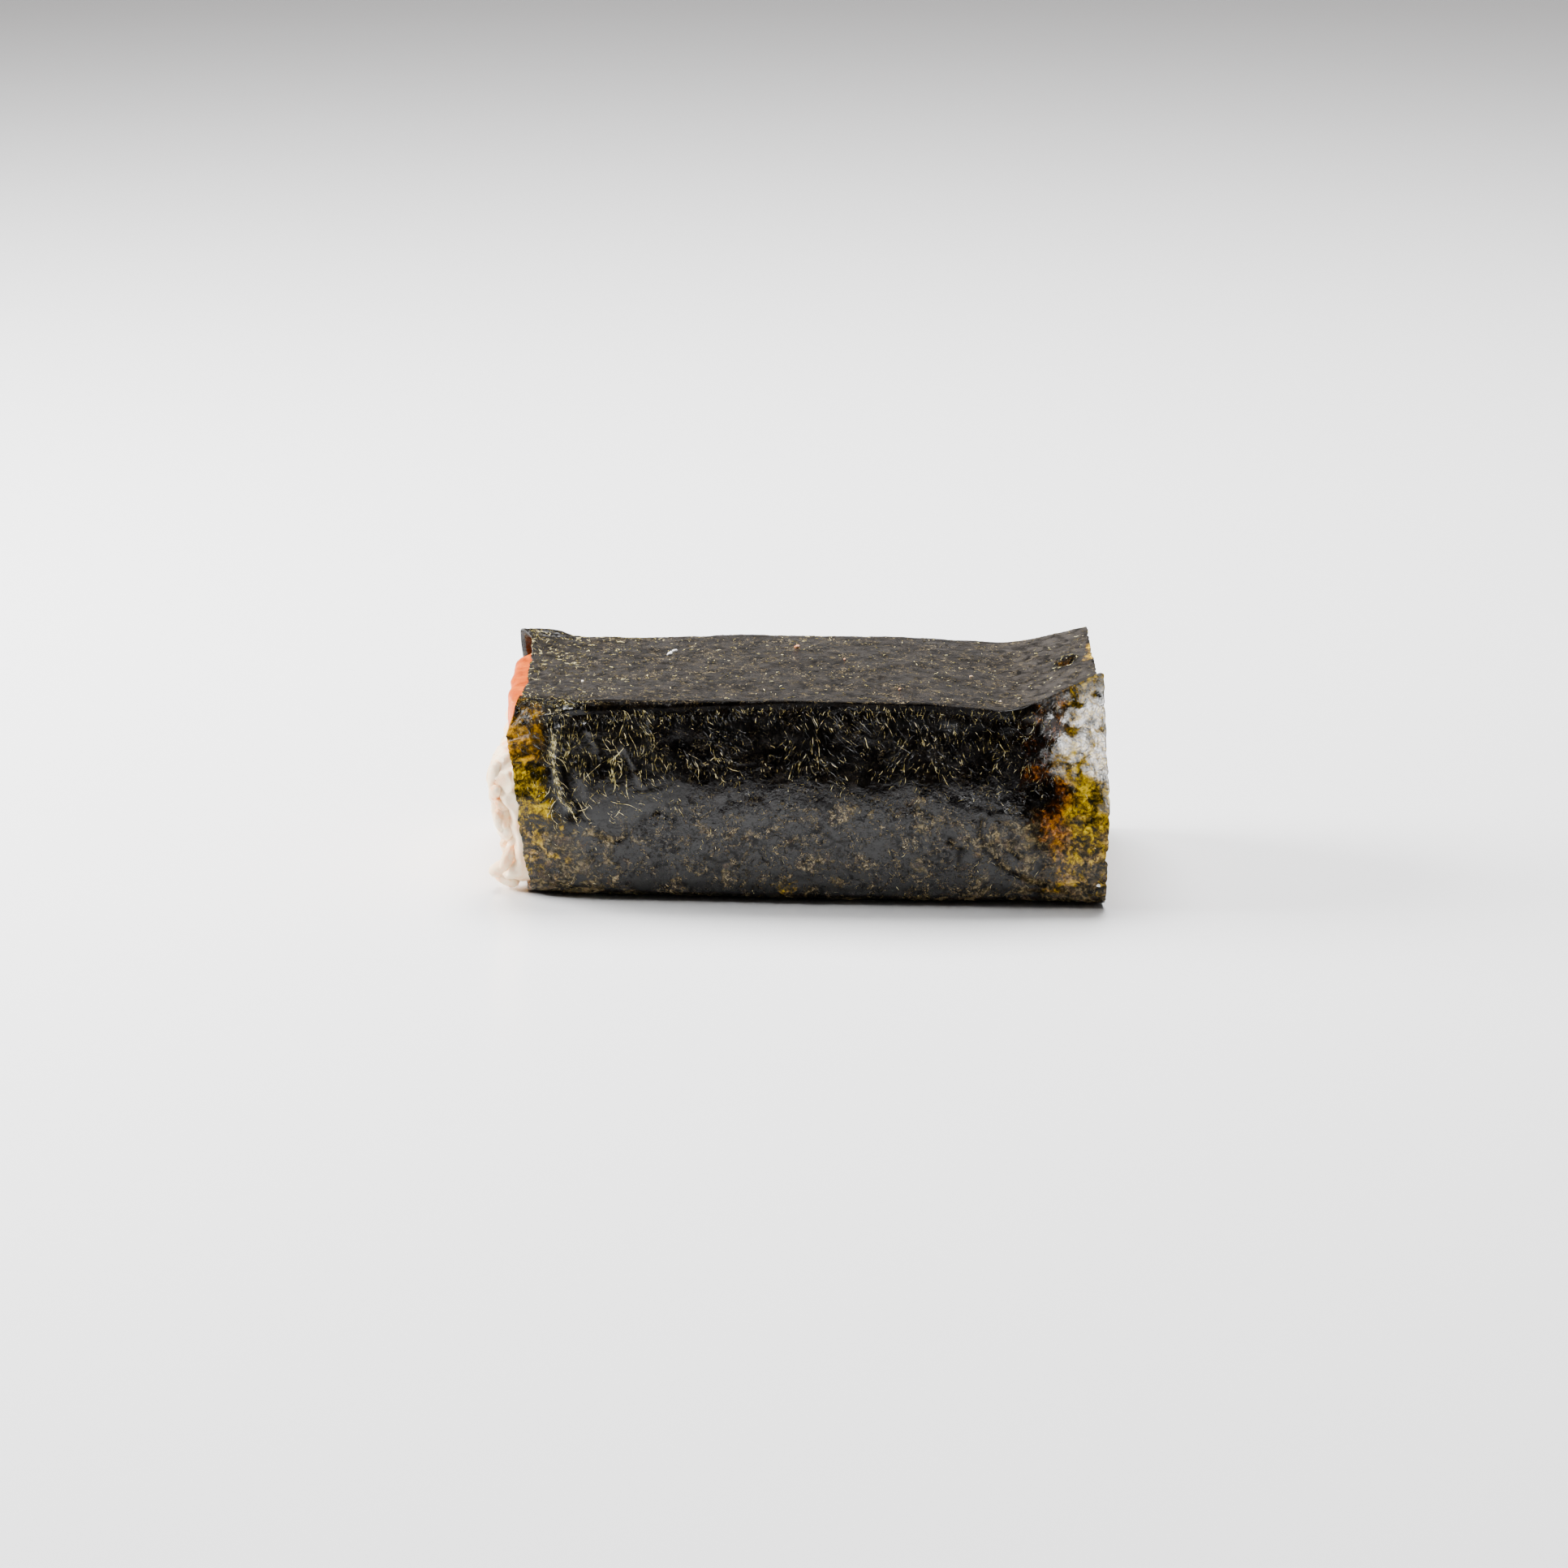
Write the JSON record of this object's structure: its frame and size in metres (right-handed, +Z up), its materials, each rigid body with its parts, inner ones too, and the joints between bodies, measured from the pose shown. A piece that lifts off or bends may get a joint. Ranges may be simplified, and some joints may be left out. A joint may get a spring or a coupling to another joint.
{
  "type": "luncheon meat musubi",
  "caption": "Luncheon meat musubi: pressed rice under a fried slice of luncheon meat, wrapped in a glossy band of nori.",
  "frame": {"origin": "middle of the piece's box, on the surface that it lies on", "axes": "+X along the piece towards the empty mouth of the nori band, -Y towards the shown long side, +Z up"},
  "size_m": [0.1113, 0.0525, 0.0393],
  "materials": {
    "nori": "damp dried seaweed, glossy and finely wrinkled",
    "rice": "moist cooked short grain rice",
    "meat": "fried luncheon meat, browned on its top face"
  },
  "bodies": {
    "root": {"nori_wrap": "nori", "rice_block": "rice", "luncheon_meat": "meat"}
  },
  "joints": []
}
